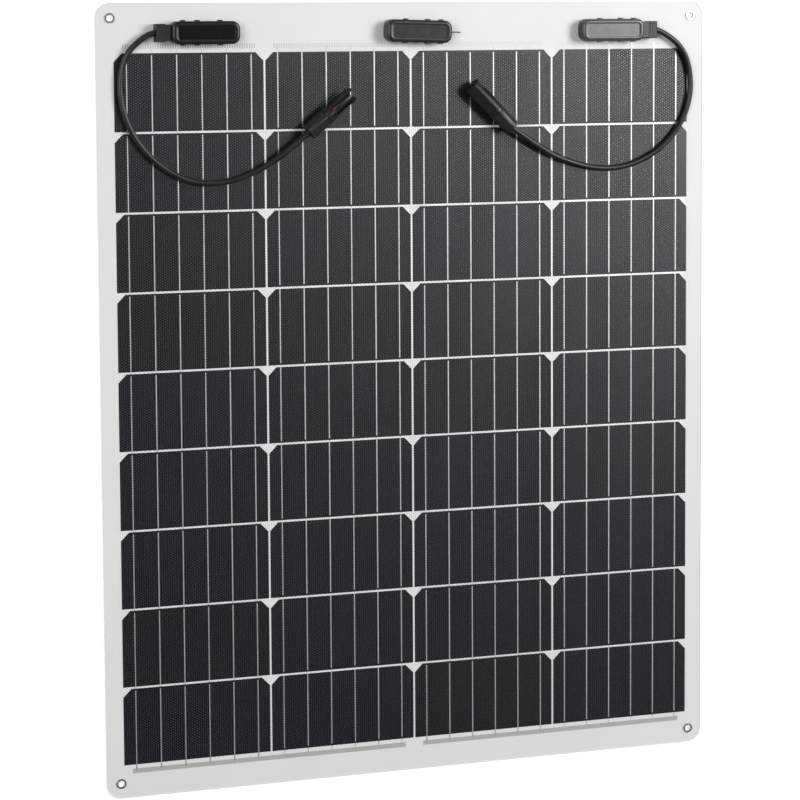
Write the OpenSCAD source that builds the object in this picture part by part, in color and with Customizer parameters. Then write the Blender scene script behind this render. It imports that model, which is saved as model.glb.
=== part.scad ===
// Flexible solar sheet: a thin laminate of half-cut cells with three stick-on junction boxes,
// two free cords and a pair of mating plugs. It lies flat, cells up, with its underside on Z = 0.
// X runs across the columns, Y runs up the strings towards the junction boxes.

/* [Cells] */
// Width of one half-cut cell, the full wafer width
cell_w = 156.75; // [140:0.25:190]
// Height of one half-cut cell, half a wafer
cell_l = 78.375; // [60:0.125:96]
// Leg of the cut across each upper corner of a cell
corner_cut = 8.5; // [2:0.5:12]
// Gap between neighbouring cells, both ways
cell_gap = 2; // [1.5:0.1:5]
// Cells in one column
rows = 9; // [2:1:12]
// Thickness of a cell
cell_t = 0.2; // [0.15:0.05:0.25]

/* [Sheet] */
// Bare edge left and right of the cells
side_margin = 18.5; // [18:0.5:40]
// Bare edge above the cells, where the boxes sit
top_margin = 50; // [46:1:80]
// Bare edge below the cells
bottom_margin = 33.6; // [26:0.1:60]
// Radius of the sheet's corners
sheet_corner_r = 15; // [5:1:18]
// Thickness of the backing board
board_t = 1; // [0.6:0.1:3]
// Thickness of the white layer behind the cells
rear_layer_t = 0.5; // [0.45:0.05:1]
// Thickness of the clear layer that holds the cells
clear_layer_t = 0.8; // [0.6:0.05:1.5]
// Thickness of the textured front film
film_t = 0.2; // [0.1:0.05:0.5]

/* [Ribbons] */
// Ribbons on one cell
ribbons_per_cell = 6; // [3:1:9]
// Width of a ribbon
ribbon_w = 1; // [0.6:0.1:2]
// Thickness of ribbons and foils
foil_t = 0.2; // [0.1:0.02:0.2]
// How far a ribbon stops short of a cell's edge
ribbon_stop = 2; // [1:0.5:6]
// Width of a bus strip
bus_w = 4.8; // [4.4:0.2:8]
// Gap between a bus strip and the cells
bus_gap = 4.2; // [3:0.2:8]
// How far a bus strip runs past its last ribbon
bus_overhang = 4; // [1:0.5:6]
// How far a ribbon or a lead laps over a bus strip
bus_lap = 2; // [1:0.1:2]
// Width of the foils that lead into the boxes
lead_w = 5; // [3:0.5:6]

/* [Eyelets] */
// Radius of the hole through an eyelet
eyelet_hole_r = 3.5; // [2:0.25:4]
// Wall of the eyelet's barrel
eyelet_wall = 0.5; // [0.3:0.1:1]
// Width of the eyelet's rims beyond its barrel
eyelet_rim = 1; // [0.6:0.1:2]
// Thickness of the eyelet's rims
eyelet_rim_t = 0.35; // [0.2:0.05:0.4]
// Distance of an eyelet's centre from both edges of the sheet
eyelet_inset = 15; // [10:0.5:18]

/* [Junction boxes] */
// Length of a box
box_l = 71; // [68:1:90]
// Width of a box
box_w = 23; // [21:0.5:28]
// Height of a box's open base
base_h = 10.4; // [10:0.1:16]
// Wall of the base
box_wall = 2; // [1.6:0.1:3]
// Floor of the base
box_floor = 1.5; // [1:0.1:2]
// Radius of a box's corners
box_corner_r = 8; // [6:0.5:9]
// Height of the lid above its gasket
lid_h = 2.9; // [2.2:0.1:6]
// Width of the slope round the lid's top
lid_slope = 3.2; // [1:0.1:4]
// Depth of the lid's skirt inside the base
skirt_h = 1.4; // [0.8:0.1:1.6]
// Thickness of the lid's gasket
gasket_t = 0.6; // [0.4:0.1:1.2]
// Thickness of the adhesive pad under a box
pad_t = 0.6; // [0.3:0.1:1.2]
// Distance of the boxes' centre line above the cells
box_rise = 20; // [18:0.5:32]
// Distance of the outer boxes from the sheet's centre line
box_spread = 224; // [180:1:230]
// Distance of the middle box from the sheet's centre line
centre_box_x = 5; // [1:1:8]
// Turn of the middle box, in degrees
centre_box_turn = -1.75; // [-4:0.25:4]
// Length of the tail on the middle box
tail_l = 12; // [4:1:30]
// Radius of the tail
tail_r = 0.6; // [0.4:0.1:1.5]
// Length of the cord clamp's cap
clamp_l = 9.5; // [7:0.5:16]
// Length of the neck between the box and the clamp's cap
neck_l = 6.5; // [5:0.5:12]
// Width of the clamp's cap
clamp_w = 18; // [14:0.5:22]
// Height of the clamp's cap
clamp_h = 11; // [10.4:0.2:11.6]

/* [Cords and plugs] */
// Radius of a cord
cord_r = 3; // [2:0.1:3]
// Height of the cord's exit above the film
cord_exit_h = 6; // [5.9:0.1:6.4]
// Length of a plug's nut
nut_l = 24; // [20:1:34]
// Width of the nut across its flats
nut_flat = 14.6; // [14:0.2:16]
// Radius to the nut's rounded corners
nut_corner_r = 8.7; // [8.2:0.1:8.8]
// Radius of a plug's neck inside its nut
plug_neck_r = 5.9; // [5.4:0.1:6.2]
// Length of the collar in front of the left plug's nut
collar_l = 6.7; // [4:0.1:10]
// Radius of the nose that enters the socket
nose_r = 4.3; // [4.2:0.1:4.5]
// Length of the nose
nose_l = 27; // [22:1:29]
// Length of the latch arms
arm_l = 31.6; // [27:0.2:38]
// Thickness of a latch arm
arm_t = 2; // [1.4:0.1:2.2]
// Width of a latch arm
arm_w = 5; // [3:0.5:5.5]
// Distance of a latch arm's middle from the plug's axis
arm_offset = 7; // [6.9:0.1:7.1]
// Length of the socket in front of its flange
socket_l = 35.5; // [30:0.5:45]
// Radius of the socket's flange
flange_r = 9; // [8.95:0.05:9.2]
// Width of the socket across its flats
socket_flat = 15; // [14:0.2:17]
// Radius of the contact pin
pin_r = 2; // [1.2:0.1:2]

/* [Hidden] */
// Clearance where two pieces fit closely but do not move
fit_gap = 0.05;
// Clearance where two pieces turn or slide on each other
run_gap = 0.1;
// Clearance round the foils where they pass through a slot
slot_gap = 0.3;
// Overlap of cutting shapes past the faces that they cut
eps = 0.5;
// Facets of the round shapes, and of the shapes that are blended into others
$fn = 64;
blend_fn = 32;

// Overall size of the cell field and of the sheet
columns = 4;
cells_w = columns * cell_w + (columns - 1) * cell_gap;
cells_l = rows * cell_l + (rows - 1) * cell_gap;
sheet_w = cells_w + 2 * side_margin;
sheet_l = cells_l + top_margin + bottom_margin;
row_pitch = cell_l + cell_gap;
column_pitch = cell_w + cell_gap;
ribbon_pitch = cell_w / ribbons_per_cell;
cells_left = -cells_w / 2;
cells_top = sheet_l / 2 - top_margin;
cells_bottom = cells_top - cells_l;

// Heights of the layers, from the underside up
cell_z = board_t + rear_layer_t;
ribbon_z = cell_z + cell_t;
film_z = cell_z + clear_layer_t;
face_z = film_z + film_t;

// Places of the bus strips
top_bus_y = cells_top + bus_gap;
bottom_bus_y = cells_bottom - bus_gap - bus_w;
ribbon_reach = bus_gap + bus_lap;

// Heights of a box's parts
base_z = face_z + pad_t;
box_floor_z = base_z + box_floor;
gasket_z = base_z + base_h;
lid_z = gasket_z + gasket_t;
lid_top_z = lid_z + lid_h;
cord_z = face_z + cord_exit_h;
// Places along a box, from its middle towards its cord
box_y = cells_top + box_rise;
cavity_x = box_l / 2 - box_wall;
clamp_x = box_l / 2 + neck_l;
exit_x = clamp_x + clamp_l;
cord_end_x = cavity_x - 10;
// The lid's edge, its recess and its tabs, which hang outside the base
lid_edge_t = 1;
recess_t = 0.4;
recess_end = 2.5;
recess_side = 1.3;
skirt_t = 1.2;
skirt_root = 0.2;
tab_xs = [-15, 9, 24];
tab_l = 5;
tab_t = 1.1;
tab_drop = 3.6;
tab_root = 1.2;
// How far the adhesive pad, the gasket and the cord's neck stand in from the edge over them
pad_inset = 1;
gasket_inset = 0.5;
neck_inset = 1;
// The cord clamp: a tube on the neck, its seal and the grooves of its cap
clamp_seal_t = 0.95;
clamp_tube_t = 1;
clamp_tube_l = 5;
clamp_tube_r = cord_r + fit_gap + clamp_seal_t + clamp_tube_t;
clamp_seal_l = 8;
groove_w = 0.8;
groove_d = 0.5;
groove_pitch = 2.2;
// Straight stretch of a cord behind its exit
straight_l = 8;

// The metal parts inside a box
foil_rise_x = -20;
terminal_w = 5;
terminal_t = 0.8;
crimp_l = 8;
crimp_r = 2.2;
leg_t = 1.2;
diode_l = 8;
diode_w = 4.4;
diode_h = 3.2;
diode_leg_r = 0.5;
diode_leg_l = 16;
foil_top_z = box_floor_z + terminal_t;

// Stations along a plug, from the cord's entry towards its tip
plug_z = face_z + flange_r + run_gap;
nut_wall_l = 6;
nut_pad_t = 0.4;
nut_pad_w = 8;
nut_pad_end = 4;
neck_start = nut_wall_l + 2;
seal_l = 8;
seal_r = plug_neck_r - 1.2;
contact_start = neck_start + seal_l;
contact_r = pin_r + 0.5;
// The contact's ferrule, which stands in from the jacket of the cord that it is crimped on
ferrule_l = 5;
ferrule_step = 0.5;
ferrule_r = cord_r - ferrule_step;
ferrule_end = contact_start + ferrule_l;
body_start = nut_l + 3 * run_gap;
// The plug with the nose and the two latch arms
collar_flat = 15.6;
collar_corner_r = 8.9;
nose_start = body_start + collar_l;
nose_end = nose_start + nose_l;
nose_lip_l = 0.5;
socket_contact_l = 20;
ring_r = 0.9;
ring_x = nose_start + 3.4;
ring_seat_r = nose_r - 0.6;
arm_pivot_x = nose_start + arm_t / 2 + 2 * run_gap;
arm_tip_x = nose_start + arm_l;
barb_h = 1.2;
barb_l = 6.5;
barb_crest_l = 1.5;
arm_taper_l = 3;
// The plug with the socket
flange_l = 3.2;
socket_start = body_start + flange_l;
socket_end = socket_start + socket_l;
socket_r = 8.95;
socket_wall_l = 4;
socket_bore_r = nose_r + 0.3;
mouth_r = socket_bore_r + 0.3;
mouth_l = 8;
channel_gap = 0.3;
channel_out = 0.05;
window_back = 9;
window_l = 16;
pin_tip_back = 9;
pin_shoulder_l = 1;

// Headings of the plugs in the plane of the sheet, and how far each is rolled
left_heading = 39.5;
left_roll = 30;
right_heading = 136;
right_roll = -35;

// Routes of the free cords: X and Y from where the cord leaves its clamp, Z above the film
left_route = [
    [0, 0, 6], [-7, -2, 5.9], [-15.5, -7.5, 5.4], [-25.5, -17, 4.5], [-32, -29.5, 3.7],
    [-35.5, -46, 3.1], [-35, -66, 3.1], [-29.5, -87, 3.1], [-19.5, -106.5, 3.1], [-5, -124, 3.1],
    [13, -138, 3.1], [33, -147.5, 3.1], [54, -151, 3.1], [76, -149.5, 3.4], [98, -143, 4.4],
    [120, -132, 6.4], [140, -118, 8.3], [160, -102, 9.1]
];
right_route = [
    [0, 0, 6], [6.5, -2, 5.9], [16, -7, 5.4], [29, -17, 4.5], [38.5, -32, 3.7],
    [43, -52, 3.1], [42, -72, 3.1], [35.5, -92, 3.1], [23, -111, 3.1], [3.5, -128, 3.1],
    [-22, -140.5, 3.1], [-48, -145.5, 3.1], [-74, -144, 3.2], [-99, -137.5, 3.8], [-118, -130, 5],
    [-136, -120, 6.8], [-152, -110, 8.4], [-166.5, -100.5, 9.1]
];
cord_sides = 12;
cord_steps = 2;

// ---- Shared shapes ----

// A flat slab with rounded corners, centred on X and Y, from Z = 0 up
module rounded_slab(l, w, t, r) {
    translate([-l / 2 + r, -w / 2, 0]) cube([l - 2 * r, w, t]);
    translate([-l / 2, -w / 2 + r, 0]) cube([l, w - 2 * r, t]);
    for (sx = [-1, 1], sy = [-1, 1])
        translate([sx * (l / 2 - r), sy * (w / 2 - r), 0]) cylinder(r = r, h = t);
}

// A plain block centred on X and Y, from Z = 0 up
module block(l, w, t) {
    translate([-l / 2, -w / 2, 0]) cube([l, w, t]);
}

// A round bar along X from x0 to x1
module bar(x0, x1, r) {
    translate([x0, 0, 0]) rotate([0, 90, 0]) cylinder(r = r, h = x1 - x0);
}

// A bar along X with flats, its corners rounded about the axis
module flatted_bar(x0, x1, flat_y, flat_z, r) {
    intersection() {
        bar(x0, x1, r);
        translate([x0 - eps, -flat_y / 2, -flat_z / 2]) cube([x1 - x0 + 2 * eps, flat_y, flat_z]);
    }
}

// ---- Places ----

module at_eyelets() {
    for (sx = [-1, 1], sy = [-1, 1])
        translate([sx * (sheet_w / 2 - eyelet_inset), sy * (sheet_l / 2 - eyelet_inset), 0])
            children();
}

// Each box is drawn with its cord end towards +X
module at_left_box() {
    translate([-box_spread, box_y, 0]) mirror([1, 0, 0]) children();
}

module at_centre_box() {
    translate([centre_box_x, box_y, 0]) rotate([0, 0, centre_box_turn]) children();
}

module at_right_box() {
    translate([box_spread, box_y, 0]) children();
}

left_exit = [-box_spread - exit_x, box_y, face_z];
right_exit = [box_spread + exit_x, box_y, face_z];

function last(list) = list[len(list) - 1];
function heading(angle) = [cos(angle), sin(angle), 0];

left_plug_at = left_exit + last(left_route);
right_plug_at = right_exit + last(right_route);

// A plug is drawn along +X from the cord's entry, with its latches towards +Y and -Y
module at_left_plug() {
    translate([left_plug_at.x, left_plug_at.y, plug_z])
        rotate([0, 0, left_heading]) rotate([left_roll, 0, 0]) children();
}

module at_right_plug() {
    translate([right_plug_at.x, right_plug_at.y, plug_z])
        rotate([0, 0, right_heading]) rotate([right_roll, 0, 0]) children();
}

// ---- Cells, ribbons and bus strips ----

// Left edge of column c, counted from 0, and the middle of its ribbon j
function column_x(c) = cells_left + c * column_pitch;
function ribbon_x(c, j) = column_x(c) + (j + 0.5) * ribbon_pitch;

module cell_string(c) {
    for (i = [0 : rows - 1])
        translate([column_x(c), cells_bottom + i * row_pitch, cell_z]) linear_extrude(cell_t)
            polygon([
                [0, 0], [cell_w, 0], [cell_w, cell_l - corner_cut], [cell_w - corner_cut, cell_l],
                [corner_cut, cell_l], [0, cell_l - corner_cut]
            ]);
}

// Y at distance s along a string: it runs down in the first and third columns, up in the others
function along(c, s) = c % 2 == 0 ? cells_top - s : cells_bottom + s;

// Side view of a ribbon: on the front of cell i, down through the gap, then behind cell i + 1
function bent_side(c, i) =
    let (s0 = i * row_pitch + ribbon_stop, s1 = i * row_pitch + cell_l, s2 = (i + 1) * row_pitch)
    let (s3 = s2 + cell_l - ribbon_stop)
    [
        [along(c, s0), ribbon_z], [along(c, s1), ribbon_z],
        [along(c, s2), cell_z - foil_t], [along(c, s3), cell_z - foil_t],
        [along(c, s3), cell_z], [along(c, s2), cell_z],
        [along(c, s1), ribbon_z + foil_t], [along(c, s0), ribbon_z + foil_t]
    ];

// Side view of a straight ribbon between two distances along the string
function straight_side(c, s0, s1, z) = [
    [along(c, s0), z], [along(c, s1), z], [along(c, s1), z + foil_t], [along(c, s0), z + foil_t]
];

module ribbon(x, side) {
    translate([x - ribbon_w / 2, 0, 0]) rotate([90, 0, 90]) linear_extrude(ribbon_w) polygon(side);
}

// The ribbons of a column: one behind its first cell, one on its last, and bent ones between
module ribbon_set(c) {
    for (j = [0 : ribbons_per_cell - 1]) {
        ribbon(ribbon_x(c, j), straight_side(c, -ribbon_reach, cell_l - ribbon_stop, cell_z - foil_t));
        for (i = [0 : rows - 2])
            ribbon(ribbon_x(c, j), bent_side(c, i));
        ribbon(ribbon_x(c, j),
            straight_side(c, cells_l - cell_l + ribbon_stop, cells_l + ribbon_reach, ribbon_z));
    }
}

// The space that the ribbons take up between two heights
module ribbon_channels(z0, z1) {
    for (c = [0 : columns - 1], j = [0 : ribbons_per_cell - 1])
        translate([ribbon_x(c, j) - ribbon_w / 2, cells_bottom - ribbon_reach, z0])
            cube([ribbon_w, cells_l + 2 * ribbon_reach, z1 - z0]);
}

// A bus strip across columns c0 to c1
module bus(c0, c1, y) {
    x0 = ribbon_x(c0, 0) - bus_overhang;
    x1 = ribbon_x(c1, ribbons_per_cell - 1) + bus_overhang;
    translate([x0, y, cell_z]) cube([x1 - x0, bus_w, cell_t]);
}

module cell_string_1() { color("#2b2b2f") cell_string(0); }
module cell_string_2() { color("#2b2b2f") cell_string(1); }
module cell_string_3() { color("#2b2b2f") cell_string(2); }
module cell_string_4() { color("#2b2b2f") cell_string(3); }
module ribbons_1() { color("gainsboro") ribbon_set(0); }
module ribbons_2() { color("gainsboro") ribbon_set(1); }
module ribbons_3() { color("gainsboro") ribbon_set(2); }
module ribbons_4() { color("gainsboro") ribbon_set(3); }
module top_bus_left() { color("silver") bus(0, 0, top_bus_y); }
module top_bus_middle() { color("silver") bus(1, 2, top_bus_y); }
module top_bus_right() { color("silver") bus(3, 3, top_bus_y); }
module bottom_bus_left() { color("darkgray") bus(0, 1, bottom_bus_y); }
module bottom_bus_right() { color("darkgray") bus(2, 3, bottom_bus_y); }

// ---- Foils that lead into the boxes, drawn in a box's own place ----

lead_run = box_rise - bus_gap - bus_w + bus_lap;

// The upright end of a foil, which stands against the edge of a terminal
module riser(x, z0) {
    translate([x - lead_w / 2, -foil_t, z0]) cube([lead_w, foil_t, foil_top_z - z0]);
}

// A foil from the bus strip below a box to the box's middle
module lead() {
    translate([-lead_w / 2, -lead_run, ribbon_z]) cube([lead_w, lead_run, foil_t]);
    riser(0, ribbon_z);
}

// A slot for the upright end of a foil at x
module foil_slot(x, z0, z1) {
    translate([x, -foil_t / 2, z0]) block(lead_w + 2 * slot_gap, foil_t + 2 * slot_gap, z1 - z0);
}

// The slots of all three boxes: one per lead and one per end of a bypass foil
module foil_slots(z0, z1) {
    at_left_box() outer_slots(z0, z1);
    at_centre_box() centre_slots(z0, z1);
    at_right_box() outer_slots(z0, z1);
}

module outer_slots(z0, z1) {
    foil_slot(0, z0, z1);
    foil_slot(foil_rise_x, z0, z1);
}

module centre_slots(z0, z1) {
    outer_slots(z0, z1);
    foil_slot(-foil_rise_x, z0, z1);
}

// The part of a bypass foil that runs behind the white layer
module bypass_run(x0, x1) {
    translate([x0 - lead_w / 2, box_y - lead_w / 2, board_t])
        cube([x1 - x0 + lead_w, lead_w, foil_t]);
}

module left_bypass_run() {
    bypass_run(-box_spread - foil_rise_x, centre_box_x + foil_rise_x);
}

module right_bypass_run() {
    bypass_run(centre_box_x - foil_rise_x, box_spread + foil_rise_x);
}

module lead_left() {
    color("silver") at_left_box() lead();
}

module lead_centre() {
    color("silver") at_centre_box() lead();
}

module lead_right() {
    color("silver") at_right_box() lead();
}

module bypass_foil_left() {
    color("silver") {
        left_bypass_run();
        at_left_box() riser(foil_rise_x, board_t);
        at_centre_box() riser(foil_rise_x, board_t);
    }
}

module bypass_foil_right() {
    color("silver") {
        right_bypass_run();
        at_centre_box() riser(-foil_rise_x, board_t);
        at_right_box() riser(foil_rise_x, board_t);
    }
}

// ---- The laminate ----

barrel_r = eyelet_hole_r + eyelet_wall;
rim_r = barrel_r + eyelet_rim;

// One layer of the sheet, with its eyelet holes
module sheet_layer(z, t) {
    difference() {
        translate([0, 0, z]) rounded_slab(sheet_w, sheet_l, t, sheet_corner_r);
        at_eyelets() translate([0, 0, z - eps]) cylinder(r = barrel_r + fit_gap, h = t + 2 * eps);
    }
}

module backing_board() {
    color("white") difference() {
        sheet_layer(0, board_t);
        at_eyelets() translate([0, 0, -eps]) cylinder(r = rim_r + fit_gap, h = eps + eyelet_rim_t);
    }
}

module rear_encapsulant() {
    color("whitesmoke") difference() {
        sheet_layer(board_t, rear_layer_t);
        ribbon_channels(cell_z - foil_t, cell_z + eps);
        left_bypass_run();
        right_bypass_run();
        foil_slots(board_t - eps, cell_z + eps);
    }
}

module front_encapsulant() {
    color("white", 0.3) difference() {
        sheet_layer(cell_z, clear_layer_t);
        for (c = [0 : columns - 1])
            cell_string(c);
        ribbon_channels(cell_z - eps, ribbon_z + foil_t);
        top_bus_left();
        top_bus_middle();
        top_bus_right();
        bottom_bus_left();
        bottom_bus_right();
        at_left_box() lead();
        at_centre_box() lead();
        at_right_box() lead();
        foil_slots(cell_z - eps, film_z + eps);
    }
}

module front_film() {
    color("white", 0.3) difference() {
        sheet_layer(film_z, film_t);
        foil_slots(film_z - eps, face_z + eps);
    }
}

// Four eyelets, each a barrel with a rim in front and a rim let into the board behind
module eyelets() {
    color("gainsboro") at_eyelets() difference() {
        union() {
            cylinder(r = rim_r, h = eyelet_rim_t);
            cylinder(r = barrel_r, h = face_z + eyelet_rim_t);
            translate([0, 0, face_z]) cylinder(r = rim_r, h = eyelet_rim_t);
        }
        translate([0, 0, -eps]) cylinder(r = eyelet_hole_r, h = face_z + eyelet_rim_t + 2 * eps);
    }
}

// ---- Junction boxes ----

module box_pads() {
    color("dimgray") difference() {
        for (place = [0 : 2])
            at_box(place) translate([0, 0, face_z])
                rounded_slab(box_l - 2 * pad_inset, box_w - 2 * pad_inset, pad_t, box_corner_r - pad_inset);
        foil_slots(face_z - eps, base_z + eps);
    }
}

// Place of box 0 (left), 1 (centre) or 2 (right)
module at_box(place) {
    if (place == 0) at_left_box() children();
    if (place == 1) at_centre_box() children();
    if (place == 2) at_right_box() children();
}

// An open tray with a floor
module box_tray() {
    difference() {
        translate([0, 0, base_z]) rounded_slab(box_l, box_w, base_h, box_corner_r);
        translate([0, 0, box_floor_z])
            rounded_slab(2 * cavity_x, box_w - 2 * box_wall, base_h, box_corner_r - box_wall);
    }
}

// The tray of an outer box, with a neck and a tube for the cord
module corded_tray() {
    seal_x = clamp_x + clamp_tube_l - clamp_seal_l;
    difference() {
        union() {
            box_tray();
            translate([cavity_x + eps, -clamp_w / 2 + neck_inset, base_z])
                cube([clamp_x - cavity_x - eps, clamp_w - 2 * neck_inset, base_h]);
            translate([0, 0, cord_z])
                bar(clamp_x - eps, clamp_x + clamp_tube_l, clamp_tube_r);
        }
        translate([0, 0, cord_z]) bar(cavity_x - eps, exit_x, cord_r + fit_gap);
        translate([0, 0, cord_z]) bar(seal_x, exit_x, cord_r + 2 * fit_gap + clamp_seal_t);
        outer_slots(base_z - eps, box_floor_z + eps);
    }
}

module centre_tray() {
    difference() {
        box_tray();
        centre_slots(base_z - eps, box_floor_z + eps);
    }
}

module gasket() {
    translate([0, 0, gasket_z]) difference() {
        rounded_slab(box_l - 2 * gasket_inset, box_w - 2 * gasket_inset, gasket_t,
            box_corner_r - gasket_inset);
        translate([0, 0, -eps])
            rounded_slab(2 * cavity_x, box_w - 2 * box_wall, gasket_t + 2 * eps, box_corner_r - box_wall);
    }
}

// A lid with a sloped edge, a shallow recess on top, a skirt inside the tray and tabs outside it
module lid() {
    skirt_z = gasket_z - skirt_h;
    skirt_out = box_wall + run_gap;
    tab_link = tab_root + run_gap + tab_t / 2;
    difference() {
        union() {
            hull($fn = blend_fn) {
                translate([0, 0, lid_z])
                    rounded_slab(box_l, box_w, lid_edge_t, box_corner_r, $fn = blend_fn);
                translate([0, 0, lid_top_z - recess_t])
                    rounded_slab(box_l - 2 * lid_slope, box_w - 2 * lid_slope, recess_t,
                        box_corner_r - lid_slope, $fn = blend_fn);
            }
            for (x = tab_xs, side = [-1, 1])
                translate([x, side * (box_w / 2 + run_gap + tab_t / 2), lid_z - tab_drop])
                    block(tab_l, tab_t, tab_drop + lid_edge_t);
            for (x = tab_xs, side = [-1, 1])
                translate([x, side * (box_w / 2 - tab_root + tab_link / 2), lid_z])
                    block(tab_l, tab_link, lid_edge_t);
            difference() {
                translate([0, 0, skirt_z])
                    rounded_slab(box_l - 2 * skirt_out, box_w - 2 * skirt_out,
                        lid_z - skirt_z + skirt_root, box_corner_r - skirt_out);
                translate([0, 0, skirt_z - eps])
                    rounded_slab(box_l - 2 * skirt_out - 2 * skirt_t, box_w - 2 * skirt_out - 2 * skirt_t,
                        lid_z - skirt_z + eps, box_corner_r - skirt_out - skirt_t);
            }
        }
        translate([0, 0, lid_top_z - recess_t])
            rounded_slab(box_l - 2 * lid_slope - 2 * recess_end, box_w - 2 * lid_slope - 2 * recess_side,
                recess_t + eps, box_corner_r - lid_slope - recess_side);
    }
}

// The cap over the cord clamp, with grooves across its top and sides
module clamp_cap() {
    translate([0, 0, cord_z]) difference() {
        translate([clamp_x, -clamp_w / 2, -clamp_h / 2]) cube([clamp_l, clamp_w, clamp_h]);
        for (x = [groove_pitch / 2 : groove_pitch : clamp_l - groove_w])
            translate([clamp_x + x, 0, 0]) difference() {
                translate([0, -clamp_w, -clamp_h]) cube([groove_w, 2 * clamp_w, 2 * clamp_h]);
                translate([-eps, -clamp_w / 2 + groove_d, -clamp_h])
                    cube([groove_w + 2 * eps, clamp_w - 2 * groove_d, 1.5 * clamp_h - groove_d]);
            }
        bar(clamp_x - eps, clamp_x + clamp_tube_l + 2 * fit_gap, clamp_tube_r + fit_gap);
        bar(clamp_x, exit_x + eps, cord_r + run_gap);
    }
}

module clamp_seal() {
    seal_x = clamp_x + clamp_tube_l - clamp_seal_l;
    translate([0, 0, cord_z]) difference() {
        bar(seal_x, seal_x + clamp_seal_l, cord_r + fit_gap + clamp_seal_t);
        bar(seal_x - eps, seal_x + clamp_seal_l + eps, cord_r + fit_gap);
    }
}

module left_box_base() { color("#262628") at_left_box() corded_tray(); }
module centre_box_base() { color("#47474b") at_centre_box() centre_tray(); }
module right_box_base() { color("#4a4a4c") at_right_box() corded_tray(); }
module left_box_lid() { color("#28282a") at_left_box() lid(); }
module centre_box_lid() { color("#47474b") at_centre_box() lid(); }
module right_box_lid() { color("#7d7d80") at_right_box() lid(); }
module left_clamp_cap() { color("#28282a") at_left_box() clamp_cap(); }
module right_clamp_cap() { color("#28282a") at_right_box() clamp_cap(); }
module left_clamp_seal() { color("#1c1c1c") at_left_box() clamp_seal(); }
module right_clamp_seal() { color("#1c1c1c") at_right_box() clamp_seal(); }

module box_gaskets() {
    color("#1c1c1c") {
        at_left_box() gasket();
        at_centre_box() gasket();
        at_right_box() gasket();
    }
}

// A stiff tail that stands out of the middle box's blank end
module centre_tail() {
    color("black") at_centre_box() translate([0, 0, cord_z])
        bar(box_l / 2, box_l / 2 + tail_l, tail_r);
}

// ---- Metal parts inside the boxes ----

// A crimp on the cord's end, a leg and a foot that runs along the floor to the foils
module terminal() {
    crimp_x = cord_end_x - crimp_l;
    translate([0, 0, cord_z]) bar(crimp_x - leg_t / 2, cord_end_x, crimp_r);
    translate([crimp_x - leg_t, -crimp_r, box_floor_z])
        cube([leg_t, terminal_w + crimp_r, cord_z - box_floor_z + crimp_r / 2]);
    translate([foil_rise_x - lead_w / 2, 0, box_floor_z])
        cube([crimp_x - foil_rise_x + lead_w / 2, terminal_w, terminal_t]);
}

module left_terminal() {
    color("#b08d57") at_left_box() terminal();
}

module right_terminal() {
    color("#b08d57") at_right_box() terminal();
}

// Three plates, one per foil
module centre_terminals() {
    color("#b08d57") at_centre_box()
        for (x = [foil_rise_x, 0, -foil_rise_x])
            translate([x, terminal_w / 2, box_floor_z]) block(lead_w + 2, terminal_w, terminal_t);
}

// Two diodes, each across two neighbouring plates
module bypass_diodes() {
    color("#202020") at_centre_box() for (side = [-1, 1])
        translate([side * -foil_rise_x / 2, terminal_w / 2, foil_top_z]) {
            translate([0, 0, diode_leg_r]) bar(-diode_leg_l / 2, diode_leg_l / 2, diode_leg_r);
            block(diode_l, diode_w, diode_h);
        }
}

// ---- Cords ----

function blend(a, b, c, d, t) =
    0.5 * (2 * b + (c - a) * t + (2 * a - 5 * b + 4 * c - d) * t * t
        + (3 * b - a - 3 * c + d) * t * t * t);

// Smooth points through a route, given the points just before its start and after its end
function smooth(route, before, after) =
    let (p = concat([before], route, [after]))
    concat(
        [for (i = [1 : len(p) - 3], k = [0 : cord_steps - 1])
            blend(p[i - 1], p[i], p[i + 1], p[i + 2], k / cord_steps)],
        [last(route)]
    );

function unit(v) = v / norm(v);
function ring(centre, ahead) =
    let (side = unit(cross(ahead, [0, 0, 1])), up = cross(side, ahead))
    [for (k = [0 : cord_sides - 1])
        centre + cord_r * (cos(360 * k / cord_sides) * side + sin(360 * k / cord_sides) * up)];

// A round tube swept along a list of points
module tube(path) {
    n = len(path);
    rings = [for (i = [0 : n - 1])
        ring(path[i], unit(path[min(i + 1, n - 1)] - path[max(i - 1, 0)]))];
    corner = [for (r = rings, p = r) p];
    walls = [
        for (i = [0 : n - 2], k = [0 : cord_sides - 1])
            let (a = i * cord_sides + k, b = i * cord_sides + (k + 1) % cord_sides)
            each [[a, b, a + cord_sides], [b, b + cord_sides, a + cord_sides]]
    ];
    start = [[for (k = [cord_sides - 1 : -1 : 0]) k]];
    end = [[for (k = [0 : cord_sides - 1]) (n - 1) * cord_sides + k]];
    polyhedron(points = corner, faces = concat(start, walls, end));
}

// A cord from its terminal, straight out of its clamp, along its route and straight into its plug
module cord(exit, route, outward, angle) {
    inside = [(exit_x - cord_end_x) * -outward, 0, route[0].z];
    into_seal = last(route) + nut_wall_l * heading(angle);
    end = last(route) + contact_start * heading(angle);
    before = route[0] - [straight_l * outward, 0, 0];
    local = concat([inside, before], smooth(route, before, end), [into_seal, end]);
    tube([for (p = local) exit + p]);
}

module left_cord() {
    color("#2b2b2b") cord(left_exit, left_route, -1, left_heading);
}

module right_cord() {
    color("#2b2b2b") cord(right_exit, right_route, 1, right_heading);
}

// ---- Plugs ----

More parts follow.
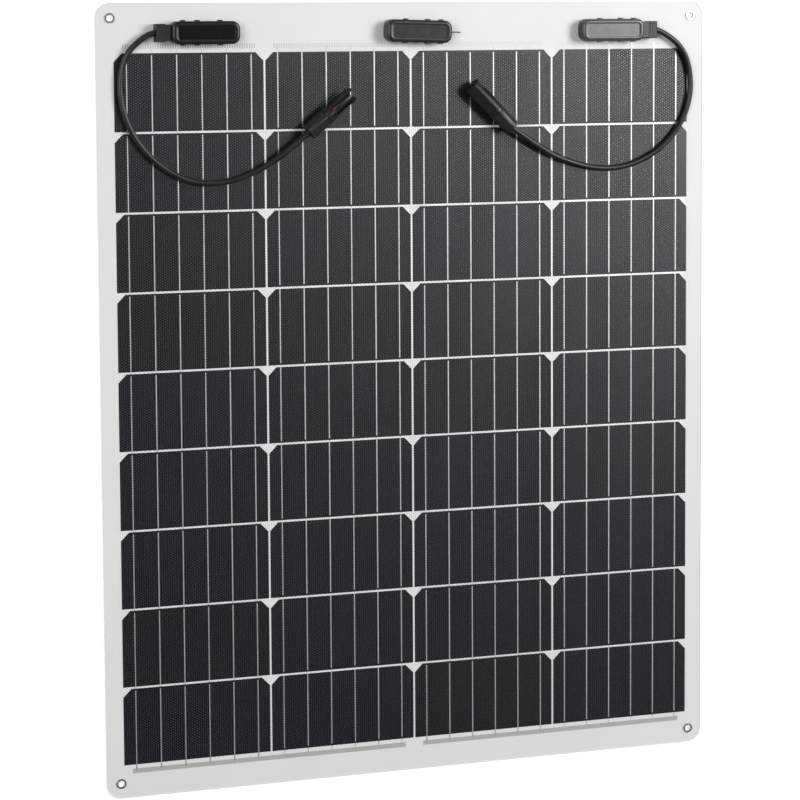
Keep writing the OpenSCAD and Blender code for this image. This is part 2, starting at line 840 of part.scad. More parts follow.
// The nut that closes a plug on its cord, with a raised pad on each flat
module plug_nut() {
    difference() {
        union() {
            flatted_bar(0, nut_l, nut_flat, nut_flat, nut_corner_r);
            for (turn = [0 : 90 : 270])
                rotate([turn, 0, 0]) translate([nut_l / 2, 0, nut_flat / 2 - eps])
                    block(nut_l - 2 * nut_pad_end, nut_pad_w, eps + nut_pad_t);
        }
        bar(-eps, nut_l, cord_r + 3 * run_gap);
        bar(nut_wall_l, nut_l + eps, plug_neck_r + run_gap);
    }
}

// The neck inside the nut, which both housings share
module plug_neck() {
    bar(neck_start, body_start + eps, plug_neck_r);
}

// The bores of a neck, for the seal, for the contact's ferrule and for the contact as far as x1
module plug_bores(x1) {
    bar(neck_start - eps, contact_start, seal_r + fit_gap);
    bar(contact_start - eps, ferrule_end, ferrule_r + fit_gap);
    bar(ferrule_end - eps, x1, contact_r + fit_gap);
}

module plug_seal() {
    difference() {
        bar(neck_start, contact_start, seal_r);
        bar(neck_start - eps, contact_start + eps, cord_r + fit_gap);
    }
}

module left_plug_housing() {
    color("#242426") at_left_plug() difference() {
        union() {
            plug_neck();
            flatted_bar(body_start, nose_start, collar_flat, collar_flat, collar_corner_r);
            bar(nose_start - eps, ring_x - ring_r - fit_gap, nose_r);
            bar(nose_start - eps, nose_end, ring_seat_r);
            bar(ring_x + ring_r + fit_gap, nose_end, nose_r);
        }
        plug_bores(nose_end + eps);
    }
}

module left_plug_nut() {
    color("#2c2c2e") at_left_plug() plug_nut();
}

// A latch arm on the +Y side: it turns about its round root and has a barb near its tip
module latch_arm() {
    inner = arm_offset - arm_t / 2;
    outer = arm_offset + arm_t / 2;
    translate([0, 0, -arm_w / 2]) {
        translate([arm_pivot_x, arm_offset, 0]) cylinder(r = arm_t / 2, h = arm_w);
        linear_extrude(arm_w) polygon([
            [arm_pivot_x, inner], [arm_tip_x - arm_taper_l, inner], [arm_tip_x, inner + arm_t / 3],
            [arm_tip_x, outer - arm_t / 3], [arm_tip_x - barb_l + barb_crest_l, outer + barb_h],
            [arm_tip_x - barb_l, outer + barb_h], [arm_tip_x - barb_l, outer], [arm_pivot_x, outer]
        ]);
    }
}

module left_latch_upper() {
    color("#242426") at_left_plug() latch_arm();
}

module left_latch_lower() {
    color("#242426") at_left_plug() rotate([180, 0, 0]) latch_arm();
}

// The sealing ring in the nose's groove
module left_plug_ring() {
    color("#7a3a48") at_left_plug() translate([ring_x, 0, 0]) rotate([0, 90, 0])
        rotate_extrude() translate([ring_seat_r + fit_gap + ring_r, 0]) circle(r = ring_r);
}

// A metal sleeve that is crimped on the cord and takes the pin at its open end
module left_plug_contact() {
    mouth_x = nose_end - nose_lip_l;
    color("#b8b8b8") at_left_plug() difference() {
        union() {
            bar(contact_start, ferrule_end + eps, ferrule_r);
            bar(ferrule_end, mouth_x, contact_r);
        }
        bar(mouth_x - socket_contact_l, mouth_x + eps, pin_r + fit_gap);
    }
}

module left_plug_seal() {
    color("#1c1c1c") at_left_plug() plug_seal();
}

// A housing with a flange, a round socket, two channels for the latch arms and their windows
module right_plug_housing() {
    channel_in = arm_offset - arm_t / 2 - channel_gap;
    channel_top = arm_offset + arm_t / 2 + channel_out;
    channel_w = arm_w + 2 * channel_gap;
    bore_start = socket_start + socket_wall_l;
    color("#242426") at_right_plug() difference() {
        union() {
            plug_neck();
            bar(body_start, socket_start, flange_r);
            flatted_bar(socket_start - eps, socket_end, 2 * socket_r, socket_flat, socket_r);
        }
        plug_bores(bore_start + eps);
        bar(bore_start, socket_end + eps, socket_bore_r);
        bar(socket_end - mouth_l, socket_end + eps, mouth_r);
        for (turn = [0, 180])
            rotate([turn, 0, 0]) {
                translate([bore_start, channel_in, -channel_w / 2])
                    cube([socket_end - bore_start + eps, channel_top - channel_in, channel_w]);
                translate([socket_end - window_back - window_l, channel_in, -channel_w / 2])
                    cube([window_l, socket_r, channel_w]);
            }
    }
}

module right_plug_nut() {
    color("#2c2c2e") at_right_plug() plug_nut();
}

// A pin with a round tip, which stays inside the socket
module right_plug_contact() {
    shoulder_x = socket_start + socket_wall_l + pin_shoulder_l;
    tip_x = socket_end - pin_tip_back;
    color("#b8b8b8") at_right_plug() {
        bar(contact_start, ferrule_end + eps, ferrule_r);
        bar(ferrule_end, shoulder_x, contact_r);
        bar(shoulder_x - eps, tip_x - pin_r, pin_r);
        translate([tip_x - pin_r, 0, 0]) sphere(r = pin_r);
    }
}

module right_plug_seal() {
    color("#1c1c1c") at_right_plug() plug_seal();
}

// ---- Nodes ----

backing_board();
rear_encapsulant();
cell_string_1();
cell_string_2();
cell_string_3();
cell_string_4();
ribbons_1();
ribbons_2();
ribbons_3();
ribbons_4();
top_bus_left();
top_bus_middle();
top_bus_right();
bottom_bus_left();
bottom_bus_right();
front_encapsulant();
front_film();
eyelets();
lead_left();
lead_centre();
lead_right();
bypass_foil_left();
bypass_foil_right();
box_pads();
left_box_base();
centre_box_base();
right_box_base();
box_gaskets();
left_box_lid();
centre_box_lid();
right_box_lid();
left_terminal();
centre_terminals();
right_terminal();
bypass_diodes();
centre_tail();
left_clamp_cap();
right_clamp_cap();
left_clamp_seal();
right_clamp_seal();
left_cord();
right_cord();
left_plug_housing();
left_plug_nut();
left_latch_upper();
left_latch_lower();
left_plug_ring();
left_plug_contact();
left_plug_seal();
right_plug_housing();
right_plug_nut();
right_plug_contact();
right_plug_seal();
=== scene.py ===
"""Flexible solar sheet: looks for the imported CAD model. Metres, cells up, sheet's underside on Z = 0."""
import math

import bpy
import bmesh
from mathutils import Matrix, Vector


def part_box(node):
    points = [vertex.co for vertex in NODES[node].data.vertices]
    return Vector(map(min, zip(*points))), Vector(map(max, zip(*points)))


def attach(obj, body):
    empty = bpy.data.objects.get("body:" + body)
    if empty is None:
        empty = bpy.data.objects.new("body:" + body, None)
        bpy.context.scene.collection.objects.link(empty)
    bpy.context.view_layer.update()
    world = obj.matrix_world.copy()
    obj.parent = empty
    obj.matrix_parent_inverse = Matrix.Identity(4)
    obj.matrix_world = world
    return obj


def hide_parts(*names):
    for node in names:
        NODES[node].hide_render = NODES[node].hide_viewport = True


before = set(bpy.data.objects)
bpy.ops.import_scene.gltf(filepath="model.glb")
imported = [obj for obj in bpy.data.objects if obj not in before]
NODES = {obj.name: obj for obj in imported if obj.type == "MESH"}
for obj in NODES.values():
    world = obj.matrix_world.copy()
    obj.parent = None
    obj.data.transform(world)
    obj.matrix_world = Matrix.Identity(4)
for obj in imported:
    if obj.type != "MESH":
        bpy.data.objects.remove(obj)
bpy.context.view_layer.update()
MM = 0.001

# ---- Sizes that the CAD model has too ----

BOX_L = 71 * MM
BOX_W = 23 * MM
BOX_CORNER_R = 8 * MM
BOX_WALL = 2 * MM
LID_EDGE_T = 1 * MM
LID_SLOPE = 3.2 * MM
LID_RECESS = 0.4 * MM
SKIRT_GAP = 0.1 * MM
SKIRT_T = 1.2 * MM
SKIRT_H = 1.4 * MM
TAB_XS = (-15 * MM, 9 * MM, 24 * MM)
TAB_SIZE = (5 * MM, 1.1 * MM, 4.6 * MM)
TAB_ROOT_SIZE = (5 * MM, 1.6 * MM, 0.9 * MM)
CENTRE_BOX_TURN = math.radians(-1.75)
CORD_R = 3 * MM
STRAIGHT_L = 8 * MM
CORD_INSIDE_L = 28 * MM
PLUG_ENTRY_L = 6 * MM
PLUG_DEPTH_L = 16 * MM
EXIT_REACH = 51.5 * MM
FILM_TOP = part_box("front_film")[1].z
CELL_ROWS = 9
ROW_GAP = 2 * MM
SHEET_CORNER_R = 15 * MM
EYELET_INSET = 15 * MM

# ---- Sizes of the looks alone ----

EYELET_HOLE_R = 4.05 * MM
EDGE_W = 0.6 * MM
LAYER_GAP = 0.01 * MM
RIBBON_COVER = 0.05 * MM
RIM_X = LID_SLOPE + 2.3 * MM
RIM_Y = LID_SLOPE + 1.1 * MM
DOT_PITCH = 2.3 * MM
DOT_DEPTH = 0.02 * MM
FINGER_PITCH = 1.4 * MM

# Routes of the free cords: X and Y from the exit, Z above the film, in millimetres
LEFT_ROUTE = [
    (0, 0, 6), (-7, -2, 5.9), (-15.5, -7.5, 5.4), (-25.5, -17, 4.5), (-32, -29.5, 3.7),
    (-35.5, -46, 3.1), (-35, -66, 3.1), (-29.5, -87, 3.1), (-19.5, -106.5, 3.1), (-5, -124, 3.1),
    (13, -138, 3.1), (33, -147.5, 3.1), (54, -151, 3.1), (76, -149.5, 3.4), (98, -143, 4.4),
    (120, -132, 6.4), (140, -118, 8.3), (160, -102, 9.1),
]
RIGHT_ROUTE = [
    (0, 0, 6), (6.5, -2, 5.9), (16, -7, 5.4), (29, -17, 4.5), (38.5, -32, 3.7),
    (43, -52, 3.1), (42, -72, 3.1), (35.5, -92, 3.1), (23, -111, 3.1), (3.5, -128, 3.1),
    (-22, -140.5, 3.1), (-48, -145.5, 3.1), (-74, -144, 3.2), (-99, -137.5, 3.8), (-118, -130, 5),
    (-136, -120, 6.8), (-152, -110, 8.4), (-166.5, -100.5, 9.1),
]
LEFT_HEADING = math.radians(39.5)
RIGHT_HEADING = math.radians(136)


# ---- Materials ----

class Shader:
    """One material and short ways to add nodes to it."""

    def __init__(self, name):
        self.material = bpy.data.materials.new(name)
        self.material.use_nodes = True
        self.tree = self.material.node_tree
        self.tree.nodes.clear()
        self.output = self.add("ShaderNodeOutputMaterial")
        self.place = self.add("ShaderNodeTexCoord").outputs["Object"]

    def add(self, kind, values=None, **settings):
        node = self.tree.nodes.new(kind)
        for name, value in settings.items():
            setattr(node, name, value)
        for key, value in (values or {}).items():
            if isinstance(value, bpy.types.NodeSocket):
                self.tree.links.new(value, node.inputs[key])
            else:
                node.inputs[key].default_value = value
        return node

    def math(self, operation, a, b=0.0):
        return self.add("ShaderNodeMath", {0: a, 1: b}, operation=operation).outputs[0]

    def noise(self, size, detail=2.0, stretch=(1, 1, 1)):
        """Soft noise with features of about that size, stretched along the axes."""
        scale = self.add("ShaderNodeMapping", {"Vector": self.place, "Scale": stretch})
        return self.add("ShaderNodeTexNoise", {
            "Vector": scale.outputs[0], "Scale": 1 / size, "Detail": detail, "Roughness": 0.5,
        }).outputs["Fac"]

    def remap(self, value, low, high, from_low=0.0, from_high=1.0):
        return self.add("ShaderNodeMapRange", {
            0: value, 1: from_low, 2: from_high, 3: low, 4: high,
        }).outputs[0]

    def mix_colour(self, factor, a, b):
        node = self.add("ShaderNodeMix", data_type="RGBA")
        for index, value in ((0, factor), (6, a), (7, b)):
            if isinstance(value, bpy.types.NodeSocket):
                self.tree.links.new(value, node.inputs[index])
            else:
                node.inputs[index].default_value = value
        return node.outputs[2]

    def bump(self, height, distance):
        return self.add("ShaderNodeBump", {
            "Height": height, "Distance": distance, "Strength": 1.0,
        }).outputs["Normal"]

    def wave(self, direction, pitch):
        """Cosine across the object along a direction, once per pitch, from -1 to 1."""
        turns = Vector(direction).normalized() * (2 * math.pi / pitch)
        dot = self.add("ShaderNodeVectorMath", {0: self.place, 1: turns}, operation="DOT_PRODUCT")
        return self.math("COSINE", dot.outputs["Value"])

    def dots(self, pitch):
        """Staggered field of round dots in columns, from -1.5 to 3."""
        half = math.sqrt(3) / 2
        waves = [self.wave(way, pitch) for way in ((1, 0, 0), (0.5, half, 0), (-0.5, half, 0))]
        return self.math("ADD", self.math("ADD", waves[0], waves[1]), waves[2])

    def finish(self, surface):
        self.tree.links.new(surface, self.output.inputs["Surface"])
        return self.material


def grey(value, blue=0.0):
    return (value, value, value * (1 + blue), 1.0)


def moulded(name, colour, roughness, ior=1.5, grain=0.35 * MM, grain_depth=0.02 * MM):
    """Moulded plastic: a fine even grain, slightly uneven gloss and faint scuffs."""
    s = Shader(name)
    cloud = s.noise(9 * MM, 3)
    scuff = s.noise(1.2 * MM, 4, (1, 6, 1))
    tone = s.remap(cloud, 0.25, 0.75, 0.3, 0.7)
    lighter = tuple(c * 1.35 for c in colour[:3]) + (1.0,)
    base = s.mix_colour(tone, colour, lighter)
    gloss = s.remap(cloud, roughness - 0.05, roughness + 0.04)
    rough = s.math("ADD", gloss, s.remap(scuff, 0, 0.08, 0.5, 0.8))
    body = s.add("ShaderNodeBsdfPrincipled", {
        "Base Color": base, "Roughness": rough, "IOR": ior,
        "Normal": s.bump(s.noise(grain, 2), grain_depth),
    })
    return s.finish(body.outputs[0])


def rubber(name, colour, roughness=0.6):
    """Soft rubber or silicone: matt, with a dusty bloom in broad patches."""
    s = Shader(name)
    bloom = s.noise(14 * MM, 4)
    dusty = tuple(c * 1.5 + 0.004 for c in colour[:3]) + (1.0,)
    body = s.add("ShaderNodeBsdfPrincipled", {
        "Base Color": s.mix_colour(s.remap(bloom, 0, 1, 0.35, 0.7), colour, dusty),
        "Roughness": s.remap(bloom, roughness - 0.06, roughness + 0.08), "IOR": 1.45,
        "Normal": s.bump(s.noise(0.25 * MM, 3), 0.015 * MM),
    })
    return s.finish(body.outputs[0])


def metal(name, colour, roughness, dull=0.75):
    """Plated or soldered metal with a drawn grain and dull spots."""
    s = Shader(name)
    grain = s.noise(0.6 * MM, 3, (6, 1, 1))
    spots = s.noise(5 * MM, 3)
    darker = tuple(c * dull for c in colour[:3]) + (1.0,)
    body = s.add("ShaderNodeBsdfPrincipled", {
        "Base Color": s.mix_colour(s.remap(spots, 0, 1, 0.35, 0.75), colour, darker),
        "Metallic": 1.0,
        "Roughness": s.remap(grain, roughness - 0.06, roughness + 0.1),
        "Normal": s.bump(grain, 0.01 * MM),
    })
    return s.finish(body.outputs[0])


def white_sheet(name, colour, roughness, weave=0.0):
    """White laminate layer: faint cloudiness, and a woven bump where weave is its pitch."""
    s = Shader(name)
    cloud = s.noise(60 * MM, 3)
    shade = tuple(c * 0.975 for c in colour[:3]) + (1.0,)
    height = s.noise(0.5 * MM, 2)
    if weave:
        across = s.wave((1, 0, 0), weave)
        along = s.wave((0, 1, 0), weave)
        height = s.math("ADD", s.math("MULTIPLY", across, along), s.math("MULTIPLY", height, 0.3))
    body = s.add("ShaderNodeBsdfPrincipled", {
        "Base Color": s.mix_colour(s.remap(cloud, 0, 1, 0.3, 0.7), colour, shade),
        "Roughness": s.remap(cloud, roughness - 0.03, roughness + 0.05),
        "Normal": s.bump(height, 0.03 * MM),
    })
    return s.finish(body.outputs[0])


def cell_surface():
    """Silicon: near black with a blue cast that differs from cell to cell, fine silver fingers, and
    painted glints: lighter dots at the film's dot pitch.
    """
    s = Shader("cell_silicon")
    low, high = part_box("cell_string_1")
    column_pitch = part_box("cell_string_2")[0].x - low.x
    row_pitch = (high.y - low.y + ROW_GAP) / CELL_ROWS
    split = s.add("ShaderNodeSeparateXYZ", {0: s.place})
    column = s.math("FLOOR", s.math("DIVIDE", s.math("SUBTRACT", split.outputs[0], low.x), column_pitch))
    row = s.math("FLOOR", s.math("DIVIDE", s.math("SUBTRACT", split.outputs[1], low.y), row_pitch))
    which = s.add("ShaderNodeCombineXYZ", {0: column, 1: row})
    chance = s.add("ShaderNodeTexWhiteNoise", {"Vector": which.outputs[0]}, noise_dimensions="2D")
    black, blue = (0.0035, 0.0035, 0.0042, 1), (0.0035, 0.0040, 0.0085, 1)
    base = s.mix_colour(chance.outputs["Value"], black, blue)
    finger = s.remap(s.wave((0, 1, 0), FINGER_PITCH), 0, 0.5, 0.9, 1.0)
    base = s.mix_colour(finger, base, (0.03, 0.03, 0.033, 1))
    # Painted glints: lighter grey dots in the silicon's colour, at the pitch of the film's embossed dots,
    # stand in for light that the film's dots reflect.
    base = s.mix_colour(s.remap(s.dots(DOT_PITCH), 0, 0.5, 0.2, 2.6), base, (0.04, 0.04, 0.042, 1))
    body = s.add("ShaderNodeBsdfPrincipled", {
        "Base Color": base, "Roughness": s.remap(s.noise(30 * MM, 2), 0.4, 0.5), "IOR": 1.12,
        "Normal": s.bump(s.noise(0.3 * MM, 2), 0.01 * MM),
    })
    return s.finish(body.outputs[0])


def hatched(name, light, dark, pitch, fades=False):
    """Flat strip under the milky layer, finely hatched across, and fainter to the right if it fades."""
    s = Shader(name)
    hatch = s.remap(s.wave((1, 0, 0), pitch), 0, 1, -0.4, 0.8)
    patch = s.remap(s.noise(25 * MM, 3), 0.4, 1.0, 0.3, 0.7)
    if fades:
        along = s.add("ShaderNodeSeparateXYZ", {0: s.place}).outputs[0]
        patch = s.math("MULTIPLY", patch, s.remap(along, 1.0, 0.12, -0.25, 0.1))
    body = s.add("ShaderNodeBsdfPrincipled", {
        "Base Color": s.mix_colour(s.math("MULTIPLY", hatch, patch), light, dark), "Roughness": 0.5,
        "Normal": s.bump(hatch, 0.02 * MM),
    })
    return s.finish(body.outputs[0])


def inside_cells(shader, axis):
    """One between the first and last cells along an axis, zero beyond them."""
    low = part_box("cell_string_1")[0][axis]
    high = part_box("cell_string_4")[1][axis]
    place = shader.add("ShaderNodeSeparateXYZ", {0: shader.place}).outputs[axis]
    away = shader.math("ABSOLUTE", shader.math("SUBTRACT", place, (low + high) / 2))
    reach = (high - low) / 2
    return shader.remap(away, 1.0, 0.0, reach, reach + 0.5 * MM)


def clear_film():
    """Clear film over the whole face, embossed with a dense field of round dots."""
    s = Shader("clear_film")
    dots = s.dots(DOT_PITCH)
    normal = s.bump(dots, DOT_DEPTH)
    fresnel = s.add("ShaderNodeFresnel", {"IOR": 1.42, "Normal": normal}).outputs[0]
    inside = s.add("ShaderNodeNewGeometry").outputs["Backfacing"]
    over_cells = s.math("MULTIPLY", *[inside_cells(s, axis) for axis in (0, 1)])
    sparkle = s.remap(over_cells, 0.85, s.remap(dots, 0.0, 7.0, 0.3, 2.6))
    gloss = s.math("MULTIPLY", s.math("MULTIPLY", fresnel, sparkle), s.math("SUBTRACT", 1.0, inside))
    clear = s.add("ShaderNodeBsdfTransparent", {"Color": (0.985, 0.985, 0.985, 1)})
    shine = s.add("ShaderNodeBsdfGlossy", {"Color": (1, 1, 1, 1), "Roughness": 0.33, "Normal": normal})
    mix = s.add("ShaderNodeMixShader", {0: gloss, 1: clear.outputs[0], 2: shine.outputs[0]})
    return s.finish(mix.outputs[0])


def floor_surface():
    """Plain white paper."""
    s = Shader("floor_paper")
    matt = s.add("ShaderNodeBsdfDiffuse", {"Color": (0.9, 0.9, 0.9, 1)})
    glow = s.add("ShaderNodeEmission", {"Color": (1, 1, 1, 1), "Strength": 0.32})
    both = s.add("ShaderNodeAddShader", {0: matt.outputs[0], 1: glow.outputs[0]})
    return s.finish(both.outputs[0])


# ---- Mesh helpers ----

def new_object(name, data):
    obj = bpy.data.objects.new(name, data)
    bpy.context.scene.collection.objects.link(obj)
    return obj


def paint(obj, *materials):
    """Puts the materials on an object, and keeps what each face of a new mesh already chose."""
    if obj.data.materials:
        obj.data.materials.clear()
    for material in materials:
        obj.data.materials.append(material)


def smooth(obj, degrees=35):
    for polygon in obj.data.polygons:
        polygon.use_smooth = True
    obj.data.set_sharp_from_angle(angle=math.radians(degrees))


def soften(obj, width, segments=2, degrees=35):
    """Small rounded edges on a CAD mesh, by modifiers alone."""
    weld = obj.modifiers.new("weld", "WELD")
    weld.merge_threshold = 0.002 * MM
    bevel = obj.modifiers.new("edges", "BEVEL")
    bevel.width = width
    bevel.segments = segments
    bevel.limit_method = "ANGLE"
    bevel.angle_limit = math.radians(degrees)
    bevel.harden_normals = True
    bevel.use_clamp_overlap = True


def rounded_outline(half_x, half_y, radius, steps=10):
    """Points round a rectangle with rounded corners, anticlockwise."""
    radius = min(radius, half_x, half_y)
    points = []
    for quarter in range(4):
        sx = 1 if quarter in (0, 3) else -1
        sy = 1 if quarter < 2 else -1
        for i in range(steps + 1):
            angle = (quarter + i / steps) * math.pi / 2
            points.append((
                sx * (half_x - radius) + radius * math.cos(angle),
                sy * (half_y - radius) + radius * math.sin(angle),
            ))
    return points


def loft(bm, rings, material_of):
    """Walls through rounded rectangles (half_x, half_y, radius, z), closed at both ends."""
    loops = [
        [bm.verts.new((x, y, z)) for x, y in rounded_outline(half_x, half_y, radius)]
        for half_x, half_y, radius, z in rings
    ]
    bm.faces.new(list(reversed(loops[0])))
    for index, (lower, upper) in enumerate(zip(loops, loops[1:])):
        for i in range(len(lower)):
            j = (i + 1) % len(lower)
            face = bm.faces.new((lower[i], lower[j], upper[j], upper[i]))
            face.material_index = material_of(index)
    cap = bm.faces.new(loops[-1])
    cap.material_index = material_of(len(rings))


def rounded_block(bm, centre, size, edge):
    """A block with rounded edges."""
    made = bmesh.ops.create_cube(bm, size=1.0)["verts"]
    for vertex in made:
        vertex.co = Vector(c + v * s for c, v, s in zip(centre, vertex.co, size))
    edges = list({e for v in made for e in v.link_edges})
    bmesh.ops.bevel(bm, geom=edges, offset=edge, segments=3, profile=0.5, affect="EDGES")


# ---- Boxes ----

def lid_rings(low_z, high_z):
    """A lid's rings from its underside, round its skirt and over its top into the recess."""
    def ring(inset_x, inset_y, z):
        radius = max(BOX_CORNER_R - max(inset_x, inset_y), 0.4 * MM)
        return (BOX_L / 2 - inset_x, BOX_W / 2 - inset_y, radius, z)

    skirt_out = BOX_WALL + SKIRT_GAP
    skirt_in = skirt_out + SKIRT_T
    edge_z = low_z + LID_EDGE_T
    slope_h = high_z - edge_z
    rings = [
        ring(skirt_in, skirt_in, low_z),
        ring(skirt_in, skirt_in, low_z - SKIRT_H),
        ring(skirt_out, skirt_out, low_z - SKIRT_H),
        ring(skirt_out, skirt_out, low_z),
        ring(0.25 * MM, 0.25 * MM, low_z),
        ring(0, 0, low_z + 0.25 * MM),
        ring(0, 0, edge_z - 0.3 * MM),
    ]
    for share in (0.05, 0.12, 0.25, 0.4, 0.55, 0.7, 0.82, 0.92, 0.98, 1.0):
        angle = share * math.pi / 2
        inset = LID_SLOPE * (1 - math.cos(angle))
        rings.append(ring(inset, inset, edge_z + slope_h * math.sin(angle)))
    floor_z = high_z - LID_RECESS
    recess = (
        (0, high_z), (0.15 * MM, high_z - 0.08 * MM), (0.25 * MM, floor_z + 0.08 * MM),
        (0.45 * MM, floor_z), (0.8 * MM, floor_z),
    )
    rings += [ring(RIM_X + inward, RIM_Y + inward, z) for inward, z in recess]
    return rings


def box_centre(base, cord_side):
    """Middle of a box from its base, which has its clamp tube at the cord's end."""
    low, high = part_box(base)
    x = (low.x + high.x) / 2
    if cord_side < 0:
        x = high.x - BOX_L / 2
    if cord_side > 0:
        x = low.x + BOX_L / 2
    return Vector((x, (low.y + high.y) / 2, 0))


def make_lid(side, cord_side, turn, rim_material, panel_material):
    cad = side + "_box_lid"
    low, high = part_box(cad)
    lid_z = low.z + (TAB_SIZE[2] - LID_EDGE_T)
    rings = lid_rings(lid_z, high.z)
    bm = bmesh.new()
    loft(bm, rings, lambda index: 1 if index >= len(rings) - 2 else 0)
    for x in TAB_XS:
        for y in (-1, 1):
            tab_y = y * (BOX_W / 2 + SKIRT_GAP + TAB_SIZE[1] / 2)
            rounded_block(bm, (x, tab_y, low.z + TAB_SIZE[2] / 2), TAB_SIZE, 0.35 * MM)
            root = (x, y * (BOX_W / 2 - 0.1 * MM), lid_z + LID_EDGE_T / 2)
            rounded_block(bm, root, TAB_ROOT_SIZE, 0.2 * MM)
    mirror = Matrix.Scale(-1, 4, (1, 0, 0)) if cord_side < 0 else Matrix.Identity(4)
    centre = Matrix.Translation(box_centre(side + "_box_base", cord_side))
    bm.transform(centre @ Matrix.Rotation(turn, 4, "Z") @ mirror)
    bmesh.ops.recalc_face_normals(bm, faces=bm.faces)
    mesh = bpy.data.meshes.new(side + "_lid_shell")
    bm.to_mesh(mesh)
    bm.free()
    lid = new_object(side + "_lid_shell", mesh)
    paint(lid, rim_material, panel_material)
    smooth(lid)
    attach(lid, side + "_lid")
    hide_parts(cad)


# ---- Clear face ----

def eyelet_hole(x, y, sides=48):
    turns = [2 * math.pi * k / sides for k in range(sides)]
    return [(x + EYELET_HOLE_R * math.cos(turn), y + EYELET_HOLE_R * math.sin(turn)) for turn in turns]


def sheet_curve(name, low_z, high_z, hollow=0.0):
    """Plate of the sheet's outline with its eyelet holes, or only a frame that is hollow wide."""
    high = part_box("backing_board")[1]
    half_x, half_y = high.x, high.y
    hole_x, hole_y = half_x - EYELET_INSET, half_y - EYELET_INSET
    curve = bpy.data.curves.new(name, "CURVE")
    curve.dimensions = "2D"
    curve.fill_mode = "BOTH"
    curve.extrude = (high_z - low_z) / 2
    outlines = [rounded_outline(half_x, half_y, SHEET_CORNER_R, 16)]
    if hollow:
        inner_r = SHEET_CORNER_R - hollow
        outlines.append(rounded_outline(half_x - hollow, half_y - hollow, inner_r, 16))
    else:
        outlines += [eyelet_hole(sx * hole_x, sy * hole_y) for sx in (-1, 1) for sy in (-1, 1)]
    for outline in outlines:
        spline = curve.splines.new("POLY")
        spline.points.add(len(outline) - 1)
        for point, (x, y) in zip(spline.points, outline):
            point.co = (x, y, 0, 1)
        spline.use_cyclic_u = True
    flat = new_object(name + "_outline", curve)
    bpy.context.view_layer.update()
    mesh = bpy.data.meshes.new_from_object(flat.evaluated_get(bpy.context.evaluated_depsgraph_get()))
    mesh.name = name
    mesh.transform(Matrix.Translation((0, 0, (low_z + high_z) / 2)))
    bpy.data.objects.remove(flat)
    plate = new_object(name, mesh)
    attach(plate, "sheet")
    return plate


# ---- Cords ----

def blend_points(a, b, c, d, t):
    """Point between b and c on the smooth curve through a, b, c and d."""
    return 0.5 * (2 * b + (c - a) * t + (2 * a - 5 * b + 4 * c - d) * t * t
                  + (3 * b - a - 3 * c + d) * t * t * t)


def cord_path(exit_point, route, outward, heading, steps=6):
    """Smooth centre line from the terminal, out of the clamp, along the route and into the plug."""
    ahead = Vector((math.cos(heading), math.sin(heading), 0))
    points = [Vector(p) * MM for p in route]
    before = points[0] - Vector((STRAIGHT_L * outward, 0, 0))
    after = points[-1] + ahead * PLUG_DEPTH_L
    guide = [before, *points, after]
    line = [points[0] - Vector((CORD_INSIDE_L * outward, 0, 0)), before]
    for i in range(1, len(guide) - 2):
        line += [blend_points(*guide[i - 1:i + 3], k / steps) for k in range(steps)]
    line += [points[-1], points[-1] + ahead * PLUG_ENTRY_L, after]
    return [exit_point + p for p in line]


def make_cord(name, side, outward, route, heading, material):
    centre = box_centre(side + "_box_base", outward)
    base = Vector((centre.x + outward * EXIT_REACH, centre.y, FILM_TOP))
    path = cord_path(base, route, outward, heading)
    curve = bpy.data.curves.new(name, "CURVE")
    curve.dimensions = "3D"
    curve.bevel_depth = CORD_R
    curve.bevel_resolution = 6
    curve.use_fill_caps = True
    spline = curve.splines.new("POLY")
    spline.points.add(len(path) - 1)
    for point, place in zip(spline.points, path):
        point.co = (*place, 1)
    cord = new_object(name, curve)
    curve.materials.append(material)
    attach(cord, "sheet")
    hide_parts(side + "_cord")


# ---- Build ----

